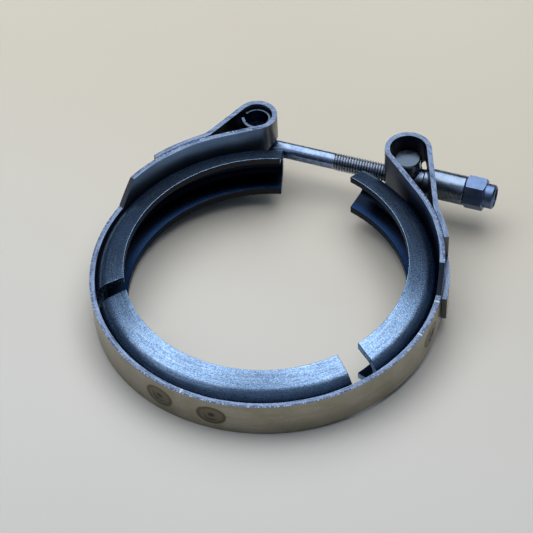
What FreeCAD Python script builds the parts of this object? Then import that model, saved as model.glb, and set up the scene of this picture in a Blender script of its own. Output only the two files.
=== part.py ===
"""V band clamp: a folded strap with three V retainers, a T-bolt, a barrel trunnion and a lock nut.

Millimetres. The origin is the centre of the ring on the mid-plane of the V retainers, +Z is the ring's
axis, and the bolt lies along X on the +Y side.
"""
import FreeCAD, Part
import Sketcher
import math
import os

Vector = FreeCAD.Vector
Rotation = FreeCAD.Rotation

# Driving dimensions: name, value in millimetres or degrees
DIMENSIONS = [
    # Strap: one contoured blank, narrow round the ring and wide at both loops
    ("ring_outer_radius", 74.0),
    ("strap_thickness", 2.2),
    ("strap_drop", 2.5),
    ("narrow_width", 16.7),
    ("wide_width", 36.0),
    ("shoulder_run", 9.6),
    ("left_shoulder_angle", 162.0),
    ("right_shoulder_angle", 13.0),
    # Folded tails: each lies outside the ring, wide first and then a narrow tongue
    ("fold_gap", 0.15),
    ("nip_bend_radius", 12.0),
    ("left_nip_angle", 132.0),
    ("right_nip_angle", 36.0),
    ("left_tail_angle", 149.6),
    ("right_tail_angle", 24.2),
    ("left_tongue_angle", 165.0),
    ("right_tongue_angle", 6.0),
    ("tongue_width", 12.0),
    ("tongue_runout", 4.0),
    ("nugget_radius", 2.6),
    ("nugget_depth", 0.5),
    ("tongue_weld_inset", 4.0),
    ("tail_weld_inset", 5.5),
    # Shallow marks where the strap is spot welded to the retainers
    ("weld_mark_radius", 3.0),
    ("weld_mark_depth", 0.25),
    ("front_weld_angle", 263.4),
    ("front_weld_spacing", 18.2),
    ("left_weld_angle", 185.5),
    ("right_weld_angle", 354.5),
    # Loops
    ("bolt_standoff", 2.4),
    ("left_loop_x", -32.0),
    ("sleeve_clearance", 0.5),
    ("right_loop_x", 38.3),
    ("pin_clearance", 2.2),
    ("bolt_slot_clearance", 1.5),
    ("bolt_slot_straight", 4.0),
    ("barrel_slot_clearance", 2.0),
    ("barrel_slot_straight", 2.0),
    ("barrel_slot_start", 2.0),
    ("slot_runout", 2.0),
    # V retainers
    ("retainer_depth", 12.5),
    ("retainer_width", 22.2),
    ("retainer_thickness", 3.2),
    ("leg_angle", 20.0),
    ("web_corner_radius", 8.0),
    ("web_gap", 0.1),
    ("retainer_span", 104.0),
    ("front_retainer_angle", 266.5),
    ("left_retainer_gap", 6.5),
    ("right_retainer_gap", 9.5),
    # T-bolt and the rolled sleeve that its head pulls on
    ("shank_diameter", 7.3),
    ("thread_diameter", 8.0),
    ("thread_length", 73.6),
    ("bolt_tip_recess", 0.62),
    ("bolt_tip_chamfer", 1.0),
    ("bolt_head_height", 14.0),
    ("sleeve_diameter", 13.0),
    ("sleeve_wall", 1.4),
    ("sleeve_height", 32.0),
    ("curl_start", -142.0),
    ("curl_end", 150.0),
    ("long_lip", 2.8),
    ("short_lip", 1.5),
    ("head_clearance", 0.05),
    ("shank_hole_clearance", 0.3),
    # Barrel trunnion
    ("pin_offset", -0.2),
    ("pin_diameter", 11.6),
    ("pin_height", 24.0),
    ("neck_diameter", 10.8),
    ("barrel_diameter", 13.0),
    ("barrel_start", 8.0),
    ("barrel_length", 27.1),
    ("barrel_bore_clearance", 0.1),
    ("pin_edge", 0.6),
    # Lock nut
    ("nut_across_flats", 13.0),
    ("hex_height", 8.6),
    ("collar_diameter", 10.8),
    ("collar_height", 4.4),
    ("collar_edge", 0.8),
    ("nut_bore_clearance", 0.04),
    ("nut_bevel_angle", 30.0),
    ("nut_seat", 0.02),
]

SHEET = "Sizes"
FULL_TURN = 360.0
HALF_TURN = 180.0
QUARTER_TURN = 90.0
HALF_SIDE_ANGLE = 30.0
BEND_SHARE = 0.9
JOINED = 0.001


class Size:
    """A number that also keeps the spreadsheet expression it comes from."""

    def __init__(self, value, text=None):
        self.value = float(value)
        self.text = text if text else repr(float(value))

    def join(self, other, sign, value):
        return Size(value, "(%s %s %s)" % (self.text, sign, size(other).text))

    def __add__(self, other):
        return self.join(other, "+", self.value + size(other).value)

    def __sub__(self, other):
        return self.join(other, "-", self.value - size(other).value)

    def __mul__(self, other):
        return self.join(other, "*", self.value * size(other).value)

    def __truediv__(self, other):
        return self.join(other, "/", self.value / size(other).value)

    def __neg__(self):
        return Size(0.0) - self


def size(number):
    return number if isinstance(number, Size) else Size(number)


def tangent_of(angle):
    return Size(math.tan(math.radians(angle.value)), "tan(%s)" % angle.text)


def cosine_of(angle):
    return Size(math.cos(math.radians(angle.value)), "cos(%s)" % angle.text)


def sine_of(angle):
    return Size(math.sin(math.radians(angle.value)), "sin(%s)" % angle.text)


def around(radius, angle):
    """A place on a circle about a sketch's origin that follows the sheet."""
    return radius * cosine_of(angle), radius * sine_of(angle)


def polar(radius, degrees):
    angle = math.radians(degrees)
    return Vector(radius * math.cos(angle), radius * math.sin(angle), 0)


doc = FreeCAD.newDocument("VBandClamp")
sheet = doc.addObject("Spreadsheet::Sheet", SHEET)
for row, (alias, number) in enumerate(DIMENSIONS, start=1):
    sheet.set("A%d" % row, alias)
    sheet.set("B%d" % row, str(number))
    sheet.setAlias("B%d" % row, alias)
doc.recompute()


def dim(alias):
    return Size(sheet.get(alias), "%s.%s" % (SHEET, alias))


# Sizes that several pieces share
ring_outer = dim("ring_outer_radius")
strap = dim("strap_thickness")
ring_inner = ring_outer - strap
tail_inner = ring_outer + dim("fold_gap")
tail_outer = tail_inner + strap
layer_split = ring_outer + dim("fold_gap") / 2
wide_half = dim("wide_width") / 2
narrow_half = dim("narrow_width") / 2
bolt_line = ring_outer + dim("bolt_standoff")
left_loop_radius = dim("sleeve_diameter") / 2 + dim("sleeve_clearance")
right_loop_radius = dim("pin_diameter") / 2 + dim("pin_clearance")
left_loop_x = dim("left_loop_x")
right_loop_x = dim("right_loop_x")
barrel_end = right_loop_x + dim("pin_offset") + dim("barrel_length")
nut_height = dim("hex_height") + dim("collar_height")
bolt_end = barrel_end + dim("nut_seat") + nut_height - dim("bolt_tip_recess")
OVERCUT = Size(5.0)


def bind(item, path, number):
    item.setExpression(path, size(number).text)


# Sketch helpers
def new_body(label):
    body = doc.addObject("PartDesign::Body", label)
    body.Label = label
    return body


def origin_plane(body, role):
    return [item for item in body.Origin.OriginFeatures if item.Role == role][0]


def new_sketch(body, role, name, offset=Size(0.0), turn=None):
    """A sketch on one of the body's own planes, turned about its vertical, then shifted along its normal."""
    sketch = body.newObject("Sketcher::SketchObject", name)
    sketch.AttachmentSupport = [(origin_plane(body, role), "")]
    sketch.MapMode = "FlatFace"
    across, along = (offset * sine_of(turn), offset * cosine_of(turn)) if turn else (Size(0.0), offset)
    spin = Rotation(Vector(0, 1, 0), turn.value) if turn else Rotation()
    sketch.AttachmentOffset = FreeCAD.Placement(Vector(across.value, 0, along.value), spin)
    bind(sketch, "AttachmentOffset.Base.x", across)
    bind(sketch, "AttachmentOffset.Base.z", along)
    if turn:
        bind(sketch, "AttachmentOffset.Rotation.Angle", turn)
    return sketch


def hold_point(sketch, geometry, end, x, y):
    """Pin one end of a sketch element at a place measured from the sketch's origin."""
    for kind, number in (("DistanceX", x), ("DistanceY", y)):
        index = sketch.addConstraint(Sketcher.Constraint(kind, -1, 1, geometry, end, size(number).value))
        bind(sketch, "Constraints[%d]" % index, number)


def spot(x, y):
    return Vector(size(x).value, size(y).value, 0)


def add_polygon(sketch, corners):
    """A closed outline of straight lines whose corners follow the sheet."""
    places = [spot(x, y) for x, y in corners]
    first = sketch.GeometryCount
    for start, end in zip(places, places[1:] + places[:1]):
        sketch.addGeometry(Part.LineSegment(start, end), False)
    count = len(corners)
    for index in range(count):
        following = first + (index + 1) % count
        sketch.addConstraint(Sketcher.Constraint("Coincident", first + index, 2, following, 1))
    for index, (x, y) in enumerate(corners):
        hold_point(sketch, first + index, 1, x, y)


def add_box(sketch, left, bottom, right, top):
    add_polygon(sketch, [(left, bottom), (right, bottom), (right, top), (left, top)])


def add_circle(sketch, x, y, radius):
    circle = sketch.addGeometry(Part.Circle(spot(x, y), Vector(0, 0, 1), size(radius).value), False)
    hold_point(sketch, circle, 3, x, y)
    index = sketch.addConstraint(Sketcher.Constraint("Radius", circle, size(radius).value))
    bind(sketch, "Constraints[%d]" % index, radius)


def add_slot(sketch, x, y, width, length):
    """A slot with round ends, its length along the sketch's X and its width across."""
    reach = (length - width) / 2
    left, right = x - reach, x + reach
    radius = width / 2
    low, high = y - radius, y + radius
    up = Vector(0, 0, 1)
    quarter = math.pi / 2
    arc_right = Part.ArcOfCircle(Part.Circle(spot(right, y), up, radius.value), -quarter, quarter)
    arc_left = Part.ArcOfCircle(Part.Circle(spot(left, y), up, radius.value), quarter, 3 * quarter)
    top = Part.LineSegment(spot(right, high), spot(left, high))
    bottom = Part.LineSegment(spot(left, low), spot(right, low))
    parts = [sketch.addGeometry(item, False) for item in (arc_right, top, arc_left, bottom)]
    for one, two in zip(parts, parts[1:] + parts[:1]):
        sketch.addConstraint(Sketcher.Constraint("Coincident", one, 2, two, 1))
    hold_point(sketch, parts[0], 3, right, y)
    hold_point(sketch, parts[2], 3, left, y)
    hold_point(sketch, parts[1], 1, right, high)
    hold_point(sketch, parts[3], 1, left, low)


# Solid features
def pad(body, sketch, name, length, symmetric=False, backwards=False):
    feature = body.newObject("PartDesign::Pad", name)
    feature.Profile = sketch
    feature.Length = size(length).value
    bind(feature, "Length", length)
    feature.Midplane = symmetric
    feature.Reversed = backwards
    doc.recompute()
    return feature


def pocket(body, sketch, name, length, backwards=False, symmetric=False):
    """Cut a sketch into the body and make sure that it really takes material away."""
    before = body.Shape.Volume
    feature = body.newObject("PartDesign::Pocket", name)
    feature.Profile = sketch
    feature.Length = size(length).value
    bind(feature, "Length", length)
    feature.Reversed = backwards
    feature.Midplane = symmetric
    doc.recompute()
    if not body.Shape.Volume < before:
        raise RuntimeError(name + " cuts nothing")
    return feature


def groove(body, sketch, name, angle):
    """Turn a sketch about its own vertical axis to cut the body."""
    before = body.Shape.Volume
    feature = body.newObject("PartDesign::Groove", name)
    feature.Profile = sketch
    feature.ReferenceAxis = (sketch, ["V_Axis"])
    feature.Angle = size(angle).value
    bind(feature, "Angle", angle)
    doc.recompute()
    if not body.Shape.Volume < before:
        raise RuntimeError(name + " cuts nothing")
    return feature


def revolve(body, sketch, name, axis, angle=FULL_TURN, symmetric=False):
    feature = body.newObject("PartDesign::Revolution", name)
    feature.Profile = sketch
    feature.ReferenceAxis = (sketch, [axis])
    feature.Angle = size(angle).value
    bind(feature, "Angle", angle)
    feature.Midplane = symmetric
    doc.recompute()
    return feature


# The strap's plan: circles joined by tangent lines
class Turn:
    """A circle that the strap's middle line follows, anticlockwise (+1) or clockwise (-1)."""

    def __init__(self, centre, radius, way, start=None, end=None):
        self.centre = centre
        self.radius = radius
        self.way = way
        self.start = start
        self.end = end


def heading_between(one, two):
    """Direction of the tangent line that leaves one circle and arrives on the next."""
    gap = two.centre - one.centre
    lift = (two.way * two.radius - one.way * one.radius) / gap.Length
    return math.degrees(math.atan2(gap.y, gap.x) - math.asin(lift))


def join_turns(turns):
    """Give every circle the angle at which the strap joins it and leaves it."""
    for one, two in zip(turns, turns[1:]):
        heading = heading_between(one, two)
        one.end = heading - one.way * QUARTER_TURN
        two.start = heading - two.way * QUARTER_TURN


def ribbon_edge(turns, offset):
    """One face of the strap in plan, its arcs offset to the left of the middle line."""
    pieces = []
    last = None
    for turn in turns:
        radius = turn.radius - turn.way * offset
        sweep = (turn.end - turn.start) * turn.way % FULL_TURN
        middle = turn.start + turn.way * sweep / 2
        first = turn.centre + polar(radius, turn.start)
        centre_point = turn.centre + polar(radius, middle)
        final = turn.centre + polar(radius, turn.start + turn.way * sweep)
        if last is not None and last.distanceToPoint(first) > JOINED:
            pieces.append(Part.LineSegment(last, first))
        pieces.append(Part.Arc(first, centre_point, final))
        last = final
    return pieces


def bend_between(nip, loop, loop_radius):
    """A tail's bend off the ring at an angle: the named radius, or less where its loop leaves less room."""
    foot = polar(tail_inner.value + strap.value / 2, nip)
    away = loop - foot
    across = loop_radius + away.dot(polar(1.0, nip))
    room = (away.dot(away) - loop_radius ** 2) / (2 * across)
    return min(dim("nip_bend_radius").value, BEND_SHARE * room)


def strap_turns():
    """The circles that the strap's middle line follows from one tongue's tip to the other's."""
    ring_middle = ring_outer.value - strap.value / 2
    tail_middle = tail_inner.value + strap.value / 2
    centre = Vector()
    left_loop = spot(left_loop_x, bolt_line)
    right_loop = spot(right_loop_x, bolt_line)
    left_mid = left_loop_radius.value + strap.value / 2
    right_mid = right_loop_radius.value + strap.value / 2
    left_nip = dim("left_nip_angle").value
    right_nip = dim("right_nip_angle").value
    left_bend = bend_between(left_nip, left_loop, left_mid)
    right_bend = bend_between(right_nip, right_loop, right_mid)
    turns = [
        Turn(centre, tail_middle, -1, start=dim("left_tongue_angle").value, end=left_nip),
        Turn(polar(tail_middle + left_bend, left_nip), left_bend, 1, start=left_nip + HALF_TURN),
        Turn(left_loop, left_mid, -1),
        Turn(centre, ring_middle, 1),
        Turn(right_loop, right_mid, -1),
        Turn(polar(tail_middle + right_bend, right_nip), right_bend, 1, end=right_nip + HALF_TURN),
        Turn(centre, tail_middle, -1, start=right_nip, end=dim("right_tongue_angle").value),
    ]
    join_turns(turns[1:-1])
    return turns


def make_strap():
    body = new_body("strap")
    plan = new_sketch(body, "XY_Plane", "strap_plan")
    turns = strap_turns()
    half = strap.value / 2
    for face in (half, -half):
        for piece in ribbon_edge(turns, face):
            plan.addGeometry(piece, False)
    for turn, angle in ((turns[0], turns[0].start), (turns[-1], turns[-1].end)):
        near = turn.centre + polar(turn.radius - half, angle)
        far = turn.centre + polar(turn.radius + half, angle)
        plan.addGeometry(Part.LineSegment(near, far), False)
    pad(body, plan, "strap_sheet", dim("wide_width"), symmetric=True)
    cut_tongues(body)
    cut_ring(body)
    cut_slots(body)
    add_nuggets(body)
    cut_weld_marks(body)
    body.Placement.Base = Vector(0, 0, -dim("strap_drop").value)
    bind(body, "Placement.Base.z", -dim("strap_drop"))
    return body


def cut_sector(body, name, start, angle, inside, outside, half_width):
    """Narrow one layer of the strap to a half width, over a sector that begins at an angle."""
    sketch = new_sketch(body, "XZ_Plane", name + "_section", turn=start)
    top = wide_half + OVERCUT
    add_box(sketch, inside, half_width, outside, top)
    add_box(sketch, inside, -top, outside, -half_width)
    groove(body, sketch, name, angle)


def cut_tongues(body):
    """Each tail is wide to its end and goes on as a narrow tongue."""
    tongue_half = dim("tongue_width") / 2
    margin = dim("tongue_runout")
    left_span = dim("left_tongue_angle") - dim("left_tail_angle") + margin
    cut_sector(body, "left_tongue", dim("left_tail_angle"), left_span,
               layer_split, tail_outer + OVERCUT, tongue_half)
    right_span = dim("right_tail_angle") - dim("right_tongue_angle") + margin
    cut_sector(body, "right_tongue", dim("right_tongue_angle") - margin, right_span,
               layer_split, tail_outer + OVERCUT, tongue_half)


def cut_ring(body):
    """The ring itself is narrow between its two sloping shoulders."""
    run = Size(HALF_TURN / math.pi) * dim("shoulder_run") / ring_outer
    narrow_start = dim("left_shoulder_angle") + run
    narrow_end = dim("right_shoulder_angle") - run + FULL_TURN
    cut_sector(body, "narrow_ring", narrow_start, narrow_end - narrow_start,
               ring_inner - OVERCUT, layer_split, narrow_half)
    for side, angle, way in (("left", narrow_start, -1.0), ("right", narrow_end - FULL_TURN, 1.0)):
        cut_shoulder(body, side + "_shoulder", angle, way)


def radial_sketch(body, name, radius, angle):
    """A sketch that faces outwards at an angle round the ring, at a radius from the ring's axis."""
    return new_sketch(body, "XZ_Plane", name, offset=radius, turn=angle + QUARTER_TURN)


def cut_shoulder(body, name, angle, way):
    """A slope that runs from the narrow edge up to the wide one, cut through the ring's layer."""
    sketch = radial_sketch(body, name + "_slope", ring_inner - OVERCUT, angle)
    run = dim("shoulder_run") * way
    top = wide_half + OVERCUT
    over = run * (top - narrow_half) / (wide_half - narrow_half)
    add_polygon(sketch, [(Size(0.0), narrow_half), (over, top), (Size(0.0), top)])
    add_polygon(sketch, [(Size(0.0), -narrow_half), (over, -top), (Size(0.0), -top)])
    pocket(body, sketch, name, OVERCUT + layer_split - ring_inner, backwards=True)


def cut_slots(body):
    """Slots for the bolt through both loops, and a taller one for the barrel."""
    clear = dim("slot_runout")
    width = dim("thread_diameter") + dim("bolt_slot_clearance") * 2
    length = width + dim("bolt_slot_straight")
    tall = dim("barrel_diameter") + dim("barrel_slot_clearance") * 2
    left = new_sketch(body, "YZ_Plane", "left_bolt_slot_outline", offset=left_loop_x)
    add_slot(left, bolt_line, Size(0.0), width, length)
    pocket(body, left, "left_bolt_slot", left_loop_radius + strap + clear, backwards=True)
    right = new_sketch(body, "YZ_Plane", "right_bolt_slot_outline", offset=right_loop_x)
    add_slot(right, bolt_line, Size(0.0), width, length)
    pocket(body, right, "right_bolt_slot", right_loop_radius + strap + clear)
    barrel_slot_x = right_loop_x + dim("barrel_slot_start")
    barrel = new_sketch(body, "YZ_Plane", "barrel_slot_outline", offset=barrel_slot_x)
    add_slot(barrel, bolt_line, Size(0.0), tall, tall + dim("barrel_slot_straight"))
    pocket(body, barrel, "barrel_slot", dim("barrel_length"), backwards=True)


def add_nuggets(body):
    """Spot welds that hold each tail and its tongue to the ring."""
    bite = dim("nugget_depth")
    per_millimetre = Size(HALF_TURN / math.pi) / ring_outer
    tongue_inset = dim("tongue_weld_inset") * per_millimetre
    tail_inset = dim("tail_weld_inset") * per_millimetre
    across = wide_half / 2
    places = [
        ("left_tongue_weld", dim("left_tongue_angle") - tongue_inset, [Size(0.0)]),
        ("right_tongue_weld", dim("right_tongue_angle") + tongue_inset, [Size(0.0)]),
        ("left_tail_weld", dim("left_tail_angle") - tail_inset, [-across, across]),
    ]
    for name, angle, heights in places:
        sketch = radial_sketch(body, name + "_spot", ring_outer - bite, angle)
        for height in heights:
            add_circle(sketch, Size(0.0), height, dim("nugget_radius"))
        pad(body, sketch, name, dim("fold_gap") + bite * 2)


def cut_weld_marks(body):
    """The shallow round marks that spot welding leaves on the strap's outer face."""
    depth = dim("weld_mark_depth")
    half_spacing = dim("front_weld_spacing") / 2
    places = [
        ("left_weld_mark", dim("left_weld_angle")),
        ("front_weld_mark_1", dim("front_weld_angle") - half_spacing),
        ("front_weld_mark_2", dim("front_weld_angle") + half_spacing),
        ("right_weld_mark", dim("right_weld_angle")),
    ]
    for name, angle in places:
        sketch = radial_sketch(body, name + "_spot", ring_outer - depth, angle)
        add_circle(sketch, Size(0.0), Size(0.0), dim("weld_mark_radius"))
        pocket(body, sketch, name, depth * 2, backwards=True)


class Bend:
    """A round corner of an outline: its two ends, a point on its middle and its radius."""

    def __init__(self, ends, middle, radius):
        self.ends = ends
        self.middle = middle
        self.radius = radius


def web_bend(x, y, radius, leg, web_first):
    """The bend where a leg of the V section meets its web, for a corner at x and y."""
    side = 1.0 if y.value > 0 else -1.0
    reach = radius * tangent_of((-leg + QUARTER_TURN) / 2)
    on_leg = (x - reach * cosine_of(leg), y + reach * sine_of(leg) * side)
    on_web = (x, y - reach * side)
    centre = spot(x - radius, y - reach * side)
    middle = centre + polar(radius.value, side * (QUARTER_TURN - leg.value) / 2)
    return Bend((on_web, on_leg) if web_first else (on_leg, on_web), middle, radius)


def curl(radius, first, last):
    """A bend about the sketch's origin, from one angle to another."""
    middle = polar(radius.value, (first.value + last.value) / 2)
    return Bend((around(radius, first), around(radius, last)), middle, radius)


def add_bent_outline(sketch, corners):
    """A closed outline of straight sides whose corners are points or bends that follow the sheet."""
    lines = []
    for corner, following in zip(corners, corners[1:] + corners[:1]):
        start = corner.ends[1] if isinstance(corner, Bend) else corner
        end = following.ends[0] if isinstance(following, Bend) else following
        line = sketch.addGeometry(Part.LineSegment(spot(*start), spot(*end)), False)
        hold_point(sketch, line, 1, *start)
        if isinstance(following, Bend):
            hold_point(sketch, line, 2, *end)
        lines.append(line)
    for index, corner in enumerate(corners):
        if isinstance(corner, Bend):
            join_bend(sketch, corner, lines[index - 1], lines[index])
        else:
            sketch.addConstraint(Sketcher.Constraint("Coincident", lines[index - 1], 2, lines[index], 1))


def join_bend(sketch, bend, before, after):
    """The arc of a bend between the end of one line and the start of the next."""
    first, last = [spot(*end) for end in bend.ends]
    arc = sketch.addGeometry(Part.Arc(first, bend.middle, last), False)
    forward = sketch.getPoint(arc, 1).distanceToPoint(first) < JOINED
    near, far = (1, 2) if forward else (2, 1)
    sketch.addConstraint(Sketcher.Constraint("Coincident", arc, near, before, 2))
    sketch.addConstraint(Sketcher.Constraint("Coincident", arc, far, after, 1))
    index = sketch.addConstraint(Sketcher.Constraint("Radius", arc, bend.radius.value))
    bind(sketch, "Constraints[%d]" % index, bend.radius)


def make_retainer(label, angle):
    """A rolled V section: a web against the strap and two legs that open towards the axis."""
    body = new_body(label)
    sketch = new_sketch(body, "XZ_Plane", label + "_section")
    half = dim("retainer_width") / 2
    sheet_thickness = dim("retainer_thickness")
    web_outer = ring_inner - dim("web_gap")
    web_inner = web_outer - sheet_thickness
    rim = web_outer - dim("retainer_depth")
    leg = dim("leg_angle")
    slope = tangent_of(leg)
    outer_corner = half - (web_outer - rim) * slope
    inner_rim = half - sheet_thickness / cosine_of(leg)
    inner_corner = inner_rim - (web_inner - rim) * slope
    outer_bend = dim("web_corner_radius")
    inner_bend = outer_bend - sheet_thickness
    add_bent_outline(sketch, [
        (rim, -half),
        web_bend(web_outer, -outer_corner, outer_bend, leg, web_first=False),
        web_bend(web_outer, outer_corner, outer_bend, leg, web_first=True),
        (rim, half),
        (rim, inner_rim),
        web_bend(web_inner, inner_corner, inner_bend, leg, web_first=False),
        web_bend(web_inner, -inner_corner, inner_bend, leg, web_first=True),
        (rim, -inner_rim),
    ])
    revolve(body, sketch, label + "_roll", "V_Axis", dim("retainer_span"), symmetric=True)
    body.Placement = FreeCAD.Placement(Vector(), Rotation(Vector(0, 0, 1), angle.value))
    bind(body, "Placement.Rotation.Angle", angle)
    return body


def make_t_bolt():
    """The shank and rolled thread, with a round head across it that sits inside the sleeve."""
    body = new_body("t_bolt")
    zero = Size(0.0)
    head_radius = dim("sleeve_diameter") / 2 - dim("sleeve_wall") - dim("head_clearance")
    head = new_sketch(body, "XY_Plane", "t_bolt_head_outline")
    add_circle(head, zero, zero, head_radius)
    pad(body, head, "t_bolt_head", dim("bolt_head_height"), symmetric=True)
    tip = bolt_end - left_loop_x
    thread_start = tip - dim("thread_length")
    shank_radius = dim("shank_diameter") / 2
    thread_radius = dim("thread_diameter") / 2
    chamfer = dim("bolt_tip_chamfer")
    step = thread_radius - shank_radius
    profile = new_sketch(body, "XY_Plane", "t_bolt_profile")
    add_polygon(profile, [
        (zero, zero), (tip, zero), (tip, thread_radius - chamfer), (tip - chamfer, thread_radius),
        (thread_start + step, thread_radius), (thread_start, shank_radius), (zero, shank_radius),
    ])
    revolve(body, profile, "t_bolt_shank", "H_Axis")
    place_on_bolt(body, left_loop_x)
    return body


def place_on_bolt(body, x):
    """Put a piece that is drawn about its own centre on the bolt's line."""
    body.Placement.Base = Vector(x.value, bolt_line.value, -dim("strap_drop").value)
    bind(body, "Placement.Base.x", x)
    bind(body, "Placement.Base.y", bolt_line)
    bind(body, "Placement.Base.z", -dim("strap_drop"))


def beyond(radius, angle, lip):
    """The far end of a straight lip that leaves a circle at an angle, anticlockwise where lip is positive."""
    x, y = around(radius, angle)
    return x - lip * sine_of(angle), y + lip * cosine_of(angle)


def make_sleeve():
    """A rolled sheet, open along the side away from the bolt, where a straight lip ends each edge."""
    body = new_body("rolled_sleeve")
    outline = new_sketch(body, "XY_Plane", "sleeve_outline")
    outer = dim("sleeve_diameter") / 2
    inner = outer - dim("sleeve_wall")
    first, last = dim("curl_start"), dim("curl_end")
    add_bent_outline(outline, [
        beyond(inner, first, -dim("long_lip")),
        beyond(outer, first, -dim("long_lip")),
        curl(outer, first, last),
        beyond(outer, last, dim("short_lip")),
        beyond(inner, last, dim("short_lip")),
        curl(inner, last, first),
    ])
    pad(body, outline, "sleeve_curl", dim("sleeve_height"), symmetric=True)
    hole = new_sketch(body, "YZ_Plane", "sleeve_hole_outline")
    add_circle(hole, Size(0.0), Size(0.0), dim("shank_diameter") / 2 + dim("shank_hole_clearance"))
    pocket(body, hole, "sleeve_hole", outer + OVERCUT, backwards=True)
    place_on_bolt(body, left_loop_x)
    return body


def make_trunnion():
    """An upright cross pin and the barrel that it carries, forged in one and bored for the bolt."""
    body = new_body("barrel_trunnion")
    pin_radius = dim("pin_diameter") / 2
    pin_half = dim("pin_height") / 2
    edge = dim("pin_edge")
    zero = Size(0.0)
    pin = new_sketch(body, "XZ_Plane", "cross_pin_profile")
    add_polygon(pin, [
        (zero, -pin_half), (pin_radius - edge, -pin_half), (pin_radius, edge - pin_half),
        (pin_radius, pin_half - edge), (pin_radius - edge, pin_half), (zero, pin_half),
    ])
    revolve(body, pin, "cross_pin", "V_Axis")
    barrel_radius = dim("barrel_diameter") / 2
    neck_radius = dim("neck_diameter") / 2
    start, length = dim("barrel_start"), dim("barrel_length")
    barrel = new_sketch(body, "XY_Plane", "barrel_profile")
    add_polygon(barrel, [
        (zero, zero), (length, zero), (length, barrel_radius - edge), (length - edge, barrel_radius),
        (start + edge, barrel_radius), (start, barrel_radius - edge), (start, neck_radius), (zero, neck_radius),
    ])
    revolve(body, barrel, "barrel", "H_Axis")
    bore = new_sketch(body, "YZ_Plane", "barrel_bore_outline", offset=-pin_radius - OVERCUT)
    add_circle(bore, zero, zero, dim("thread_diameter") / 2 + dim("barrel_bore_clearance"))
    pocket(body, bore, "barrel_bore", length + pin_radius + OVERCUT * 2, backwards=True)
    place_on_bolt(body, right_loop_x + dim("pin_offset"))
    return body


def make_nut():
    """A hexagon with bevelled corners and a plain locking collar on its outer end."""
    body = new_body("lock_nut")
    flats = dim("nut_across_flats") / 2
    side = flats * tangent_of(Size(HALF_SIDE_ANGLE))
    corner = side * 2.0
    outline = new_sketch(body, "YZ_Plane", "hexagon")
    add_polygon(outline, [
        (corner, Size(0.0)), (side, flats), (-side, flats),
        (-corner, Size(0.0)), (-side, -flats), (side, -flats),
    ])
    pad(body, outline, "hexagon_block", dim("hex_height"))
    bevel = new_sketch(body, "XY_Plane", "bevel_profile")
    reach = corner + OVERCUT
    slope = tangent_of(dim("nut_bevel_angle"))
    high = dim("hex_height")
    drop = (reach - flats) * slope
    add_polygon(bevel, [(Size(0.0), flats), (Size(0.0), reach), (drop, reach)])
    add_polygon(bevel, [(high, flats), (high, reach), (high - drop, reach)])
    turned = body.newObject("PartDesign::Groove", "corner_bevels")
    turned.Profile = bevel
    turned.ReferenceAxis = (bevel, ["H_Axis"])
    turned.Angle = FULL_TURN
    doc.recompute()
    collar = new_sketch(body, "XY_Plane", "collar_profile")
    radius = dim("collar_diameter") / 2
    edge = dim("collar_edge")
    top = nut_height
    base = high - edge
    add_polygon(collar, [
        (base, Size(0.0)), (top, Size(0.0)), (top, radius - edge), (top - edge, radius), (base, radius),
    ])
    revolve(body, collar, "collar", "H_Axis")
    bore = new_sketch(body, "YZ_Plane", "nut_bore_outline", offset=-OVERCUT)
    add_circle(bore, Size(0.0), Size(0.0), dim("thread_diameter") / 2 + dim("nut_bore_clearance"))
    pocket(body, bore, "nut_bore", top + OVERCUT * 2, backwards=True)
    place_on_bolt(body, barrel_end + dim("nut_seat"))
    return body


def build():
    front = dim("front_retainer_angle")
    span = dim("retainer_span")
    pieces = [
        make_strap(),
        make_retainer("v_retainer_left", front - span - dim("left_retainer_gap")),
        make_retainer("v_retainer_front", front),
        make_retainer("v_retainer_right", front + span + dim("right_retainer_gap") - FULL_TURN),
        make_t_bolt(),
        make_sleeve(),
        make_trunnion(),
        make_nut(),
    ]
    doc.recompute()
    for item in doc.Objects:
        if "Invalid" in item.State or "Error" in item.State:
            raise RuntimeError("%s failed: %s" % (item.Label, item.State))
    for piece in pieces:
        if piece.Shape.isNull() or not piece.Shape.isValid() or len(piece.Shape.Solids) != 1:
            raise RuntimeError("%s is not one valid solid" % piece.Label)
    return pieces


def export(pieces):
    os.makedirs("parts", exist_ok=True)
    for piece in pieces:
        piece.Shape.exportStep("parts/%s.step" % piece.Label)
        print("%-18s volume %9.1f mm3, faces %d" % (piece.Label, piece.Shape.Volume, len(piece.Shape.Faces)))


export(build())
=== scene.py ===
"""A V band clamp on a pale floor: worn stainless steel, a rolled thread and the photograph's view."""
import math

import bmesh
import bpy
from mathutils import Matrix, Vector


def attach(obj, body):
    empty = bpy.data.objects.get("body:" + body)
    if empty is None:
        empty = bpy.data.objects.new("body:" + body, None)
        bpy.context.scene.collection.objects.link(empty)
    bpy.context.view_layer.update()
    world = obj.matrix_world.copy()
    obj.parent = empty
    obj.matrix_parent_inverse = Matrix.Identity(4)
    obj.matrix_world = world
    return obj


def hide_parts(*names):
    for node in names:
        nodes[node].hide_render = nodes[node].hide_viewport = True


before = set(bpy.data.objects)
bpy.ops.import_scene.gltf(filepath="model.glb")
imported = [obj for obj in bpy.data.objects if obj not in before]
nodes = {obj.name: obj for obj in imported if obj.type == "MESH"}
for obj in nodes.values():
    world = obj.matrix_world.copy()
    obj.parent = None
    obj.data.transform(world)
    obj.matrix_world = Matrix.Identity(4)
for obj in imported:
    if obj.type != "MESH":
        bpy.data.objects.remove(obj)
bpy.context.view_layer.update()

MM = 0.001

# The ring, the strap and the V retainers' rims, in millimetres
RING_OUTER = 74.0
STRAP_MIDDLE_Z = -2.5
RIM_RADIUS = 59.2

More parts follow.
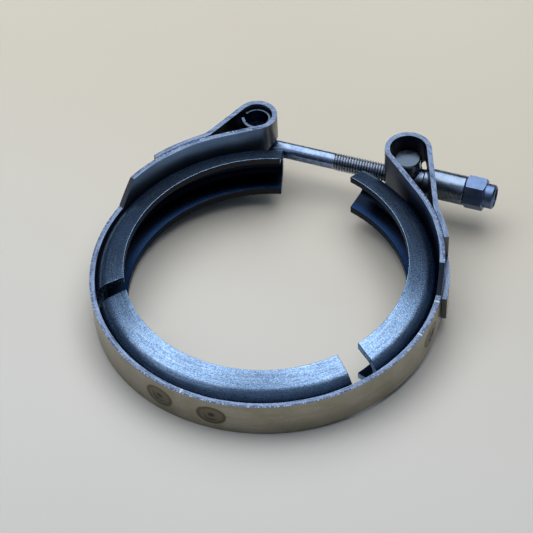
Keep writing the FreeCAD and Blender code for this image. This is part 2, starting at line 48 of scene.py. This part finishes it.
# The T-bolt, in millimetres along its own axis
BOLT_Y = 76.4
HEAD_X = -32.0
HEAD_RADIUS = 5.05
HEAD_HEIGHT = 14.0
HEAD_CHAMFER = 0.5
SHANK_RADIUS = 3.65
BOLT_TIP = 77.6
TIP_CHAMFER = 1.0

# Its rolled thread: the root's flat and the flank are shares of half a pitch
THREAD_START = 4.0
THREAD_PITCH = 1.25
CREST_RADIUS = 4.0
ROOT_RADIUS = 3.32
ROOT_FLAT = 0.08
FLANK = 0.80
RUNOUT_PITCHES = 1.5

# Rows of vertices along the T-bolt's shank, and how finely the rest of it is meshed
SHANK_ROWS = [HEAD_X, HEAD_X + 6.0, -12.0, 0.0, THREAD_START - 0.4]
ROWS_PER_PITCH = 14
ROD_SIDES = 48
HEAD_SIDES = 64
SMOOTH_ANGLE = math.radians(40.0)

# Radii between which a thread's groove darkens with painted shade, and where along the bolt its paler
# colour, a painted highlight, begins
GROOVE_RADIUS = (CREST_RADIUS - 0.25, CREST_RADIUS - 0.55)
THREAD_FADE = (THREAD_START, THREAD_START + 1.0)

# Top of the trunnion's round cross pin
PIN_TOP = 9.5

# Worn edges of the CAD pieces: widths and merge distance in millimetres
EASED_WIDTH = {
    "strap": 0.25,
    "v_retainer_left": 0.3,
    "v_retainer_front": 0.3,
    "v_retainer_right": 0.3,
    "rolled_sleeve": 0.15,
    "barrel_trunnion": 0.3,
    "lock_nut": 0.25,
}
EASED_SEGMENTS = 2
EASED_ANGLE = math.radians(35.0)
MERGE_DISTANCE = 0.0005
NORMAL_WEIGHT = 80

# Radii that tell the ring's outer face, its edge's outer half, and the loops and tongues outside it
RING_FACE = (RING_OUTER - 0.9, RING_OUTER - 0.7)
OUTER_HALF = (RING_OUTER - 1.1, RING_OUTER - 0.5)
PAST_RING = (RING_OUTER + 0.4, RING_OUTER + 0.1)

# Spot weld marks on the strap's outer face: angles round the ring in degrees, radii in millimetres
WELD_ANGLES = [-105.7, -87.5, -5.5]
WELD_RADIUS = 5.3
WELD_BLUR = 0.7
WELD_WAVER = 1.2
WELD_RING = (3.4, 4.3)
WELD_DOT = (0.8, 1.5)
WELD_SQUASH = 0.8

# Painted glints on the strap's upper edge: angles round the ring in degrees, half widths in millimetres
GLINT_ANGLES = [-97.6, -12.0, 3.0]
GLINT_WIDTH = (0.8, 1.4)
GLINT_WAVER = 1.5

# Band of painted light on the strap's inner face, paler than the painted shade below it: its height, how far
# it wavers, and where it fades to its least share
LIT_BAND_HEIGHT = (4.0, 11.0)
LIT_BAND_WAVER = 14.0
LIT_BAND_RIGHT = (0.0, 20.0)
LIT_BAND_LEAST = 0.15

# Inside a V retainer, where the colour is painted shade: the navy zone of painted shade at the lower rim,
# the chips' height and the rim's own face, darkened as painted shade
NAVY_RADIUS = (RIM_RADIUS + 4.0, RIM_RADIUS + 0.5)
NAVY_HEIGHT = (0.0, -4.0)
CHIP_HEIGHT = (5.0, 7.5)
RIM_FACE_RADIUS = (RIM_RADIUS + 1.2, RIM_RADIUS + 0.6)

# Colours of the strap: outer face, inner face, marks and sheared edge
WORN_DARK = (0.31, 0.285, 0.21)
WORN_PALE = (0.40, 0.37, 0.30)
# Inner face: dark painted shade, and the paler band of painted light on its upper part
INNER_SHADE = (0.035, 0.055, 0.105)
INNER_LIT = (0.19, 0.195, 0.205)
GRAIN_COLOUR = (0.14, 0.135, 0.125)
STRAP_SCUFF = (0.50, 0.475, 0.41)
WELD_DISC_COLOUR = (0.14, 0.122, 0.085)
WELD_RING_COLOUR = (0.07, 0.063, 0.042)
WELD_DOT_COLOUR = (0.035, 0.032, 0.025)
EDGE_DARK = (0.036, 0.058, 0.108)
EDGE_PALE = (0.115, 0.155, 0.235)
EDGE_SPECKLE = (0.19, 0.24, 0.33)
EDGE_OUTER = (0.022, 0.038, 0.085)
EDGE_TORN = (0.21, 0.26, 0.35)
# Colour of the painted glints on the upper edge
EDGE_GLINT = (0.34, 0.39, 0.46)

# Colours of the V retainers: outside, then inside the V, where black, navy and the rim's face are painted
# shade and the chips are paler
MOTTLE_DARK = (0.125, 0.195, 0.345)
MOTTLE_PALE = (0.235, 0.365, 0.53)
CLOUD_COLOUR = (0.085, 0.125, 0.195)
DRAWN_PALE = (0.31, 0.42, 0.51)
DRAWN_DARK = (0.07, 0.11, 0.20)
DASH_COLOUR = (0.05, 0.08, 0.155)
RETAINER_SCUFF = (0.30, 0.38, 0.46)
RETAINER_TINT = (0.55, 0.65, 0.80)
SHADE_BLACK = (0.005, 0.008, 0.016)
SHADE_NAVY = (0.006, 0.019, 0.055)
CHIP_COLOUR = (0.30, 0.28, 0.25)
RIM_FACE_SHADE = (0.022, 0.022, 0.025)

# Turned and rolled metals: two tones, least and most roughness, and scale of the rings along each axis
BOLT_METAL = {"dark": (0.12, 0.17, 0.28), "pale": (0.26, 0.35, 0.50),
              "polish": (0.20, 0.30), "ring_scale": (0.3, 1.4, 1.4)}
BARREL_METAL = {"dark": (0.14, 0.185, 0.26), "pale": (0.22, 0.285, 0.39),
                "polish": (0.20, 0.30), "ring_scale": (1.2, 0.3, 0.3)}
NUT_METAL = {"dark": (0.095, 0.14, 0.25), "pale": (0.145, 0.215, 0.37),
             "polish": (0.32, 0.40), "ring_scale": (0.4, 1.5, 1.5)}
# Painted highlight on a thread, and the share of the dark tone kept for painted shade in its grooves and on
# a sunken flat end
THREAD_HIGHLIGHT = (0.46, 0.50, 0.56)
SHADE_SHARE = 0.3

# The floor leans a little, because the clamp rests on its loops and its front edge
FLOOR_LOW = Vector((0.0, 85.0, -20.5))
FLOOR_SLOPE = 0.0607
FLOOR_HALF = 3000.0
# Floor colours: darker and warmer at the back, a painted shade; lighter and cooler in front
FLOOR_BACK_SHADED = ((0.585, 0.535, 0.44), (0.605, 0.555, 0.46))
FLOOR_FRONT_LIT = ((0.64, 0.615, 0.57), (0.66, 0.635, 0.59))
FLOOR_FRONT = -90.0
FLOOR_BACK = 140.0
FLOOR_ROUGHNESS = 0.75

# Lamps that face straight down, in metres: name, x, y, width, depth and radiance
LAMP_HEIGHT = 0.95
LAMP_TINT = (0.96, 0.98, 1.0)
LAMPS = [
    ("overhead", -0.125, 0.36, 1.45, 0.88, 2.6),
    ("far_part", -0.40, 1.35, 0.90, 1.1, 2.6),
    ("near_part", -0.625, -0.165, 0.95, 0.17, 2.4),
    ("dim_part", -0.70, -0.55, 0.9, 0.6, 0.5),
]

# The room's own light: height of the direction, 0 level and 1 upright, and its colour there
ROOM_LOW = (0.15, (0.03, 0.042, 0.065, 1.0))
ROOM_HIGH = (0.90, (0.18, 0.22, 0.28, 1.0))

# Camera: place, way it looks, roll and lens, worked out from the photograph
CAMERA_PLACE = Vector((191.7, -467.1, 562.0))
CAMERA_RIGHT = Vector((0.9252, 0.3795, 0.0))
CAMERA_UP = Vector((-0.2809, 0.6848, 0.6724))
CAMERA_ROLL = math.radians(-3.178)
CAMERA_LENS = 121.6
CAMERA_NEAR = 10.0
SENSOR_WIDTH = 36.0

# Level about which a noise lies, where its thin lines are taken
NOISE_MIDDLE = 0.5


class Look:
    """A metal or painted material's node tree, with short ways to add its nodes."""

    def __init__(self, name):
        self.material = bpy.data.materials.new(name)
        self.material.use_nodes = True
        self.tree = self.material.node_tree
        self.tree.nodes.clear()
        output = self.add("ShaderNodeOutputMaterial")
        self.shader = self.add("ShaderNodeBsdfPrincipled")
        self.tree.links.new(self.shader.outputs["BSDF"], output.inputs["Surface"])

    def add(self, kind, **settings):
        node = self.tree.nodes.new(kind)
        for key, value in settings.items():
            setattr(node, key, value)
        return node

    def put(self, socket, value):
        """Link a socket's source, or set a plain number or colour."""
        if isinstance(value, bpy.types.NodeSocket):
            self.tree.links.new(value, socket)
        elif isinstance(value, tuple) and len(value) == 3 and socket.type == "RGBA":
            socket.default_value = (*value, 1.0)
        else:
            socket.default_value = value

    def math(self, operation, *values):
        node = self.add("ShaderNodeMath", operation=operation)
        for socket, value in zip(node.inputs, values):
            self.put(socket, value)
        return node.outputs[0]

    def times(self, one, two):
        return self.math("MULTIPLY", one, two)

    def plus(self, one, two):
        return self.math("ADD", one, two)

    def minus(self, one, two):
        return self.math("SUBTRACT", one, two)

    def apart(self, one, two):
        """How far two values lie apart."""
        return self.math("ABSOLUTE", self.minus(one, two))

    def length(self, one, two):
        """Length of a vector with these two parts."""
        return self.math("SQRT", self.plus(self.times(one, one), self.times(two, two)))

    def place(self):
        """Place in the object's own frame, in millimetres."""
        source = self.add("ShaderNodeTexCoord").outputs["Object"]
        scaled = self.add("ShaderNodeVectorMath", operation="SCALE")
        self.put(scaled.inputs[0], source)
        scaled.inputs["Scale"].default_value = 1 / MM
        return scaled.outputs[0]

    def split(self, vector):
        node = self.add("ShaderNodeSeparateXYZ")
        self.put(node.inputs[0], vector)
        return node.outputs

    def join(self, x, y, z):
        node = self.add("ShaderNodeCombineXYZ")
        for socket, value in zip(node.inputs, (x, y, z)):
            self.put(socket, value)
        return node.outputs[0]

    def stretch(self, vector, x, y, z):
        node = self.add("ShaderNodeVectorMath", operation="MULTIPLY")
        self.put(node.inputs[0], vector)
        node.inputs[1].default_value = (x, y, z)
        return node.outputs[0]

    def polar(self):
        """Arc length round the ring's axis, radius and height, in millimetres."""
        x, y, z = self.split(self.place())
        angle = self.math("ARCTAN2", y, x)
        return self.times(angle, RING_OUTER), self.length(x, y), z

    def wrap(self, polar, along, across, up):
        """A polar place stretched along the ring, across it and upwards."""
        return self.join(*map(self.times, polar, (along, across, up)))

    def facing(self):
        """How far the surface faces away from the ring's axis, and along it, without the bump."""
        across, along, up = self.split(self.add("ShaderNodeTexCoord").outputs["Normal"])
        x, y = self.split(self.place())[:2]
        turned = self.plus(self.times(x, across), self.times(y, along))
        return self.math("DIVIDE", turned, self.length(x, y)), up

    def noise(self, vector, detail, roughness, scale=1.0):
        node = self.add("ShaderNodeTexNoise")
        self.put(node.inputs["Vector"], vector)
        node.inputs["Scale"].default_value = scale
        node.inputs["Detail"].default_value = detail
        node.inputs["Roughness"].default_value = roughness
        return node.outputs["Fac"]

    def fade(self, value, low, high, start=0.0, end=1.0):
        """Smooth step: start where the value is at low, end where it is at high."""
        node = self.add("ShaderNodeMapRange", interpolation_type="SMOOTHSTEP")
        self.put(node.inputs["Value"], value)
        for name, number in (("From Min", low), ("From Max", high), ("To Min", start), ("To Max", end)):
            node.inputs[name].default_value = number
        return node.outputs["Result"]

    def blend(self, factor, one, two):
        node = self.add("ShaderNodeMix", data_type="RGBA")
        self.put(node.inputs["Factor"], factor)
        self.put(node.inputs[6], one)
        self.put(node.inputs[7], two)
        return node.outputs[2]

    def scratches(self, vector, scale, turn, thin):
        """Sparse fine lines: one thin level of a stretched noise."""
        mapping = self.add("ShaderNodeMapping")
        self.put(mapping.inputs["Vector"], vector)
        mapping.inputs["Rotation"].default_value = turn
        mapping.inputs["Scale"].default_value = scale
        away = self.apart(self.noise(mapping.outputs[0], detail=2.0, roughness=0.4), NOISE_MIDDLE)
        return self.fade(away, 0.0, thin, 1.0, 0.0)

    def bump(self, height, depth, under=None):
        """A relief that is depth millimetres deep where the height runs from 0 to 1."""
        node = self.add("ShaderNodeBump")
        self.put(node.inputs["Height"], height)
        node.inputs["Distance"].default_value = depth * MM
        if under is not None:
            self.put(node.inputs["Normal"], under)
        return node.outputs["Normal"]

    def finish(self, colour, roughness, normal, metallic=1.0):
        self.put(self.shader.inputs["Base Color"], colour)
        self.shader.inputs["Metallic"].default_value = metallic
        self.put(self.shader.inputs["Roughness"], roughness)
        self.put(self.shader.inputs["Normal"], normal)
        return self.material


def strap_look():
    """Cold rolled strip: grain along the strap, sheared edges, weld marks and painted shade on its inner
    side.
    """
    look = Look("strap_steel")
    place = look.place()
    polar = look.polar()
    outwards, up = look.facing()
    grain = look.noise(look.wrap(polar, 0.05, 0.4, 5.0), detail=4.0, roughness=0.7)
    torn = look.noise(look.wrap(polar, 2.6, 0.4, 0.2), detail=3.0, roughness=0.7)
    cloud = look.noise(place, detail=5.0, roughness=0.6, scale=0.06)
    pits = look.noise(place, detail=3.0, roughness=0.7, scale=2.2)
    edge = look.fade(look.math("ABSOLUTE", up), 0.6, 0.85)
    outside = look.fade(outwards, -0.1, 0.2)
    radius = polar[1]
    outer_half = look.times(look.fade(radius, *OUTER_HALF), look.fade(radius, *PAST_RING))
    face = strap_face(look, place, polar, outside, cloud, grain)
    face = weld_marks(look, polar, edge, cloud, face)
    rim = sheared_edge(look, place, polar, outer_half, cloud, pits, torn)
    relief = look.bump(grain, depth=0.010)
    relief = look.bump(pits, depth=0.006, under=relief)
    relief = look.bump(look.times(torn, look.times(edge, outer_half)), depth=0.08, under=relief)
    return look.finish(look.blend(edge, face, rim), look.fade(cloud, 0.3, 0.7, 0.30, 0.40), relief)


def strap_face(look, place, polar, outside, cloud, grain):
    """Tan and scuffed outside; inside, dark painted shade under a paler band of painted light that fades to
    the right.
    """
    x, height = look.split(place)[0], polar[2]
    worn = look.blend(look.fade(cloud, 0.35, 0.65), WORN_DARK, WORN_PALE)
    # The inner face is painted shade, with a paler band of painted light along its upper part that fades to
    # the right
    lit_band = look.fade(look.plus(height, look.times(cloud, LIT_BAND_WAVER)), *LIT_BAND_HEIGHT)
    lit_band = look.times(lit_band, look.fade(x, *LIT_BAND_RIGHT, 1.0, LIT_BAND_LEAST))
    inner_shading = look.blend(lit_band, INNER_SHADE, INNER_LIT)
    face = look.blend(outside, inner_shading, worn)
    face = look.blend(look.fade(grain, 0.35, 0.7, 0.0, 0.35), face, GRAIN_COLOUR)
    wrapped = look.wrap(polar, 0.05, 0.4, 1.0)
    leaning = look.scratches(wrapped, (1.2, 0.5, 0.35), (0.5, 0.0, 0.0), thin=0.02)
    level = look.scratches(wrapped, (0.8, 0.5, 1.6), (0.0, 0.0, 0.0), thin=0.02)
    scuffs = look.times(look.math("MAXIMUM", leaning, level), look.fade(cloud, 0.40, 0.60))
    return look.blend(look.times(scuffs, look.times(outside, 0.35)), face, STRAP_SCUFF)


def weld_marks(look, polar, edge, cloud, face):
    """Round marks on the ring's outer face, where the retainers are spot-welded to the strap."""
    arc, radius, height = polar
    level = look.minus(height, STRAP_MIDDLE_Z)
    nearest = None
    for angle in WELD_ANGLES:
        across = look.times(look.minus(arc, math.radians(angle) * RING_OUTER), WELD_SQUASH)
        away = look.length(across, level)
        nearest = away if nearest is None else look.math("MINIMUM", nearest, away)
    on_ring = look.times(look.fade(radius, *RING_FACE), look.minus(1.0, edge))
    smudge = look.plus(nearest, look.times(cloud, WELD_WAVER))
    disc = look.times(look.fade(smudge, WELD_RADIUS, WELD_RADIUS + WELD_BLUR, 1.0, 0.0), on_ring)
    ring = look.times(look.fade(nearest, *WELD_RING), disc)
    dot = look.times(look.fade(nearest, *WELD_DOT, 1.0, 0.0), on_ring)
    face = look.blend(look.times(disc, 0.85), face, WELD_DISC_COLOUR)
    face = look.blend(look.times(ring, 0.6), face, WELD_RING_COLOUR)
    return look.blend(look.times(dot, 0.8), face, WELD_DOT_COLOUR)


def sheared_edge(look, place, polar, outer_half, cloud, pits, torn):
    """The strap's cut edge: streaked and speckled, its outer half torn round the ring, with painted glints.
    """
    arc = polar[0]
    rolled = look.noise(look.wrap(polar, 0.10, 2.0, 0.2), detail=3.0, roughness=0.6)
    speckle = look.noise(look.stretch(place, 1.3, 1.3, 0.2), detail=3.0, roughness=0.7)
    rim = look.blend(look.fade(rolled, 0.38, 0.58), EDGE_DARK, EDGE_PALE)
    rim = look.blend(look.fade(speckle, 0.48, 0.62, 0.0, 0.55), rim, EDGE_SPECKLE)
    dark_half = look.times(outer_half, look.fade(cloud, 0.30, 0.45))
    rim = look.blend(look.times(dark_half, 0.8), rim, EDGE_OUTER)
    rim = look.blend(look.times(outer_half, look.fade(torn, 0.50, 0.62)), rim, EDGE_TORN)
    # Painted glints: small bright patches on the upper edge at given angles
    for angle in GLINT_ANGLES:
        beside = look.apart(arc, math.radians(angle) * RING_OUTER)
        uneven = look.plus(beside, look.times(pits, GLINT_WAVER))
        rim = look.blend(look.fade(uneven, *GLINT_WIDTH, 0.7, 0.0), rim, EDGE_GLINT)
    return rim


def retainer_look():
    """Rolled section: finely mottled, scratched round the ring, with dark painted shade inside the V."""
    look = Look("retainer_steel")
    place = look.place()
    polar = look.polar()
    drawn = look.noise(look.wrap(polar, 0.07, 2.0, 2.0), detail=4.0, roughness=0.7)
    dashes = look.noise(look.wrap(polar, 1.9, 0.7, 0.7), detail=2.0, roughness=0.5)
    mottle = look.noise(look.wrap(polar, 1.1, 2.2, 2.2), detail=4.0, roughness=0.75)
    cloud = look.noise(place, detail=4.0, roughness=0.6, scale=0.07)
    scuffs = look.scratches(place, (0.10, 0.9, 0.3), (0.0, 0.0, 0.5), thin=0.015)
    colour = look.blend(look.fade(mottle, 0.41, 0.59), MOTTLE_DARK, MOTTLE_PALE)
    colour = look.blend(look.fade(cloud, 0.40, 0.65, 0.0, 0.3), colour, CLOUD_COLOUR)
    colour = look.blend(look.fade(drawn, 0.54, 0.66, 0.0, 0.7), colour, DRAWN_PALE)
    colour = look.blend(look.fade(drawn, 0.46, 0.36, 0.0, 0.5), colour, DRAWN_DARK)
    colour = look.blend(look.fade(dashes, 0.60, 0.66, 0.0, 0.6), colour, DASH_COLOUR)
    colour = look.blend(look.times(scuffs, 0.3), colour, RETAINER_SCUFF)
    # Inside the V, painted shade takes the place of the metal's colour
    inside, shade = v_interior(look, place, polar)
    colour = look.blend(inside, colour, shade)
    look.put(look.shader.inputs["Specular Tint"], RETAINER_TINT)
    relief = look.bump(drawn, depth=0.015)
    relief = look.bump(mottle, depth=0.02, under=relief)
    relief = look.bump(dashes, depth=0.02, under=relief)
    return look.finish(colour, look.fade(mottle, 0.3, 0.7, 0.31, 0.22), relief)


def v_interior(look, place, polar):
    """Where the surface lies inside the V, and the painted shade there: black, navy at the lower rim, with
    pale chips above.
    """
    radius, height = polar[1:]
    outwards, up = look.facing()
    # Inside the V the colour is painted shade: black, navy near the lower rim, and the rim's inward face
    # darkened
    under = look.fade(look.times(up, look.math("SIGN", height)), 0.05, -0.15)
    behind = look.fade(outwards, -0.3, -0.6)
    navy = look.times(look.fade(radius, *NAVY_RADIUS), look.fade(height, *NAVY_HEIGHT))
    shade = look.blend(navy, SHADE_BLACK, SHADE_NAVY)
    chips = look.noise(place, detail=3.0, roughness=0.7, scale=0.35)
    chipped = look.times(look.fade(height, *CHIP_HEIGHT), look.fade(chips, 0.63, 0.66))
    shade = look.blend(chipped, shade, CHIP_COLOUR)
    rim_face = look.times(look.fade(radius, *RIM_FACE_RADIUS), behind)
    shade = look.blend(rim_face, shade, RIM_FACE_SHADE)
    return look.math("MAXIMUM", under, behind), shade


def turned_look(name, dark, pale, polish, ring_scale, end_height=None, threaded=False):
    """Turned or rolled steel: rings round its axis, light mottling and small marks.

    Above end_height a flat end, which lies down inside the sleeve or the loop, is darkened as painted shade.
    A thread is paler, a painted highlight on its crests, with painted shade in its grooves.
    """
    look = Look(name)
    place = look.place()
    x, y, z = look.split(place)
    rings = look.noise(look.stretch(place, *ring_scale), detail=3.0, roughness=0.6)
    mottle = look.noise(place, detail=4.0, roughness=0.6, scale=0.30)
    specks = look.noise(place, detail=2.0, roughness=0.6, scale=2.2)
    shade_colour = tuple(level * SHADE_SHARE for level in dark)
    colour = look.blend(look.fade(mottle, 0.25, 0.75), dark, pale)
    colour = look.blend(look.fade(specks, 0.64, 0.76, 0.0, 0.4), colour, dark)
    # Painted shade on the flat end that lies inside the sleeve or the loop
    if end_height is not None:
        colour = look.blend(look.fade(z, end_height - 0.3, end_height - 0.1, 0.0, 0.85), colour, shade_colour)
    # Thread: a painted highlight over it, painted shade in its grooves
    if threaded:
        groove = look.fade(look.length(y, z), *GROOVE_RADIUS)
        on_thread = look.fade(x, *THREAD_FADE)
        colour = look.blend(look.times(on_thread, 0.8), colour, THREAD_HIGHLIGHT)
        colour = look.blend(look.times(look.times(groove, on_thread), 0.7), colour, shade_colour)
    relief = look.bump(rings, depth=0.010)
    relief = look.bump(mottle, depth=0.01, under=relief)
    return look.finish(colour, look.fade(mottle, 0.3, 0.7, *polish), relief)


def floor_look():
    """Pale painted table, darker and warmer at the back as painted shade, lighter and cooler in front."""
    look = Look("floor_paint")
    place = look.place()
    y = look.split(place)[1]
    cloud = look.fade(look.noise(place, detail=2.0, roughness=0.5, scale=0.004), 0.3, 0.7)
    grain = look.noise(place, detail=3.0, roughness=0.6, scale=0.8)
    # Painted shade: the floor darkens and warms towards the back
    back_shaded = look.blend(cloud, *FLOOR_BACK_SHADED)
    front_lit = look.blend(cloud, *FLOOR_FRONT_LIT)
    colour = look.blend(look.fade(y, FLOOR_FRONT, FLOOR_BACK), front_lit, back_shaded)
    return look.finish(colour, FLOOR_ROUGHNESS, look.bump(grain, depth=0.02), metallic=0.0)


def object_from(mesh, name):
    """A new object in the scene, made of a finished bmesh."""
    bmesh.ops.recalc_face_normals(mesh, faces=mesh.faces)
    data = bpy.data.meshes.new(name)
    mesh.to_mesh(data)
    mesh.free()
    piece = bpy.data.objects.new(name, data)
    bpy.context.scene.collection.objects.link(piece)
    return piece


def skin(mesh, rows):
    """Close rows of vertices into a solid: a strip of faces between each two, and a cap at both ends."""
    for one, two in zip(rows, rows[1:]):
        for index in range(len(one)):
            following = (index + 1) % len(one)
            mesh.faces.new((one[index], one[following], two[following], two[index]))
    mesh.faces.new(list(reversed(rows[0])))
    mesh.faces.new(rows[-1])


def thread_radius(along, turn):
    """Radius of the rod at a place along its axis and an angle round it, in millimetres."""
    into = along - THREAD_START
    to_tip = BOLT_TIP - along
    if into <= 0.0:
        return SHANK_RADIUS
    phase = (into / THREAD_PITCH - turn / math.tau) % 1.0
    wave = abs(phase * 2.0 - 1.0)
    shape = min(max((wave - ROOT_FLAT) / FLANK, 0.0), 1.0)
    radius = ROOT_RADIUS + (CREST_RADIUS - ROOT_RADIUS) * shape
    runout = min(into / (THREAD_PITCH * RUNOUT_PITCHES), 1.0)
    radius = SHANK_RADIUS + (radius - SHANK_RADIUS) * runout
    return min(radius, CREST_RADIUS - TIP_CHAMFER + max(to_tip, 0.0))


def add_rod(mesh):
    """The shank and its thread as one closed tube along X."""
    step = THREAD_PITCH / ROWS_PER_PITCH
    count = int(round((BOLT_TIP - THREAD_START) / step))
    thread_rows = [THREAD_START + index * step for index in range(count)] + [BOLT_TIP]
    rows = []
    for along in SHANK_ROWS + thread_rows:
        row = []
        for index in range(ROD_SIDES):
            turn = math.tau * index / ROD_SIDES
            radius = thread_radius(along, turn)
            spot = Vector((along, radius * math.cos(turn), radius * math.sin(turn)))
            row.append(mesh.verts.new(spot * MM))
        rows.append(row)
    skin(mesh, rows)


def add_head(mesh):
    """The T-bolt's upright cross head, a chamfered cylinder."""
    half = HEAD_HEIGHT / 2
    profile = [(HEAD_RADIUS - HEAD_CHAMFER, -half), (HEAD_RADIUS, HEAD_CHAMFER - half),
               (HEAD_RADIUS, half - HEAD_CHAMFER), (HEAD_RADIUS - HEAD_CHAMFER, half)]
    centre = Vector((HEAD_X, 0.0, 0.0))
    rows = []
    for radius, height in profile:
        row = []
        for index in range(HEAD_SIDES):
            turn = math.tau * index / HEAD_SIDES
            spot = Vector((radius * math.cos(turn), radius * math.sin(turn), height)) + centre
            row.append(mesh.verts.new(spot * MM))
        rows.append(row)
    skin(mesh, rows)


def make_bolt(material):
    """The T-bolt with its round cross head, plain shank and rolled thread."""
    rod = bmesh.new()
    add_rod(rod)
    bolt = object_from(rod, "threaded_t_bolt")
    bolt.location = Vector((0.0, BOLT_Y, STRAP_MIDDLE_Z)) * MM
    head = bmesh.new()
    add_head(head)
    cross = object_from(head, "bolt_cross_head")
    cross.location = bolt.location
    union = bolt.modifiers.new("head", "BOOLEAN")
    union.operation = "UNION"
    union.solver = "EXACT"
    union.object = cross
    bpy.context.view_layer.update()
    made = bpy.data.meshes.new_from_object(bolt.evaluated_get(bpy.context.evaluated_depsgraph_get()))
    bolt.modifiers.clear()
    bolt.data = made
    bpy.data.objects.remove(cross)
    bolt.data.materials.clear()
    bolt.data.materials.append(material)
    for polygon in bolt.data.polygons:
        polygon.use_smooth = True
    bolt.data.set_sharp_from_angle(angle=SMOOTH_ANGLE)
    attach(bolt, "t_bolt")
    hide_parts("t_bolt")


def dress(name, material):
    """Give a CAD piece its material, and round its sharp edges a little, as tumbling and wear leave them."""
    node = nodes[name]
    node.data.materials.clear()
    node.data.materials.append(material)
    weld = node.modifiers.new("weld", "WELD")
    weld.merge_threshold = MERGE_DISTANCE * MM
    bevel = node.modifiers.new("edges", "BEVEL")
    bevel.width = EASED_WIDTH[name] * MM
    bevel.segments = EASED_SEGMENTS
    bevel.limit_method = "ANGLE"
    bevel.angle_limit = EASED_ANGLE
    weighted = node.modifiers.new("normals", "WEIGHTED_NORMAL")
    weighted.weight = NORMAL_WEIGHT


def make_floor():
    """A plain square floor that leans by its slope along Y."""
    plane = bmesh.new()
    lift = FLOOR_LOW.z + FLOOR_SLOPE * FLOOR_LOW.y
    corners = []
    for x, y in ((-1, -1), (1, -1), (1, 1), (-1, 1)):
        spot = Vector((x * FLOOR_HALF, y * FLOOR_HALF, lift - FLOOR_SLOPE * y * FLOOR_HALF))
        corners.append(plane.verts.new(spot * MM))
    plane.faces.new(corners)
    floor = object_from(plane, "floor")
    floor.data.materials.append(floor_look())


def make_lamps():
    """A broad soft lamp above the back left, made of four parts that face down, as unturned lamps do."""
    for name, x, y, width, depth, radiance in LAMPS:
        light = bpy.data.lights.new(name, "AREA")
        light.shape = "RECTANGLE"
        light.size = width
        light.size_y = depth
        light.energy = radiance * math.pi * width * depth
        light.color = LAMP_TINT
        lamp = bpy.data.objects.new(name, light)
        bpy.context.scene.collection.objects.link(lamp)
        lamp.location = (x, y, LAMP_HEIGHT)


def make_room():
    """A dim room round the scene, lighter above."""
    world = bpy.data.worlds.new("room")
    bpy.context.scene.world = world
    world.use_nodes = True
    tree = world.node_tree
    tree.nodes.clear()
    output = tree.nodes.new("ShaderNodeOutputWorld")
    background = tree.nodes.new("ShaderNodeBackground")
    way = tree.nodes.new("ShaderNodeTexCoord")
    parts = tree.nodes.new("ShaderNodeSeparateXYZ")
    ramp = tree.nodes.new("ShaderNodeValToRGB")
    tree.links.new(way.outputs["Generated"], parts.inputs[0])
    tree.links.new(parts.outputs["Z"], ramp.inputs["Fac"])
    tree.links.new(ramp.outputs["Color"], background.inputs["Color"])
    tree.links.new(background.outputs["Background"], output.inputs["Surface"])
    for stop, (position, colour) in zip(ramp.color_ramp.elements, (ROOM_LOW, ROOM_HIGH)):
        stop.position = position
        stop.color = colour


def make_camera():
    """The photograph's view: a long lens from the front right, looking down."""
    cosine, sine = math.cos(CAMERA_ROLL), math.sin(CAMERA_ROLL)
    right = cosine * CAMERA_RIGHT + sine * CAMERA_UP
    up = cosine * CAMERA_UP - sine * CAMERA_RIGHT
    back = right.cross(up)
    turn = Matrix((right, up, back)).transposed().to_4x4()
    data = bpy.data.cameras.new("photo_view")
    data.lens = CAMERA_LENS
    data.sensor_width = SENSOR_WIDTH
    data.clip_start = CAMERA_NEAR * MM
    camera = bpy.data.objects.new("photo_view", data)
    camera.matrix_world = Matrix.Translation(CAMERA_PLACE * MM) @ turn
    bpy.context.scene.collection.objects.link(camera)
    bpy.context.scene.camera = camera


def make_scene():
    """Camera, floor and light, then each piece in its metal."""
    make_camera()
    make_floor()
    make_lamps()
    make_room()
    dress("strap", strap_look())
    retainer = retainer_look()
    for name in ("v_retainer_left", "v_retainer_front", "v_retainer_right"):
        dress(name, retainer)
    bolt = turned_look("bolt_steel", **BOLT_METAL, end_height=HEAD_HEIGHT / 2, threaded=True)
    make_bolt(bolt)
    dress("rolled_sleeve", bolt)
    dress("barrel_trunnion", turned_look("trunnion_steel", **BARREL_METAL, end_height=PIN_TOP))
    dress("lock_nut", turned_look("nut_steel", **NUT_METAL))
    bpy.context.scene.view_settings.view_transform = "Standard"


make_scene()
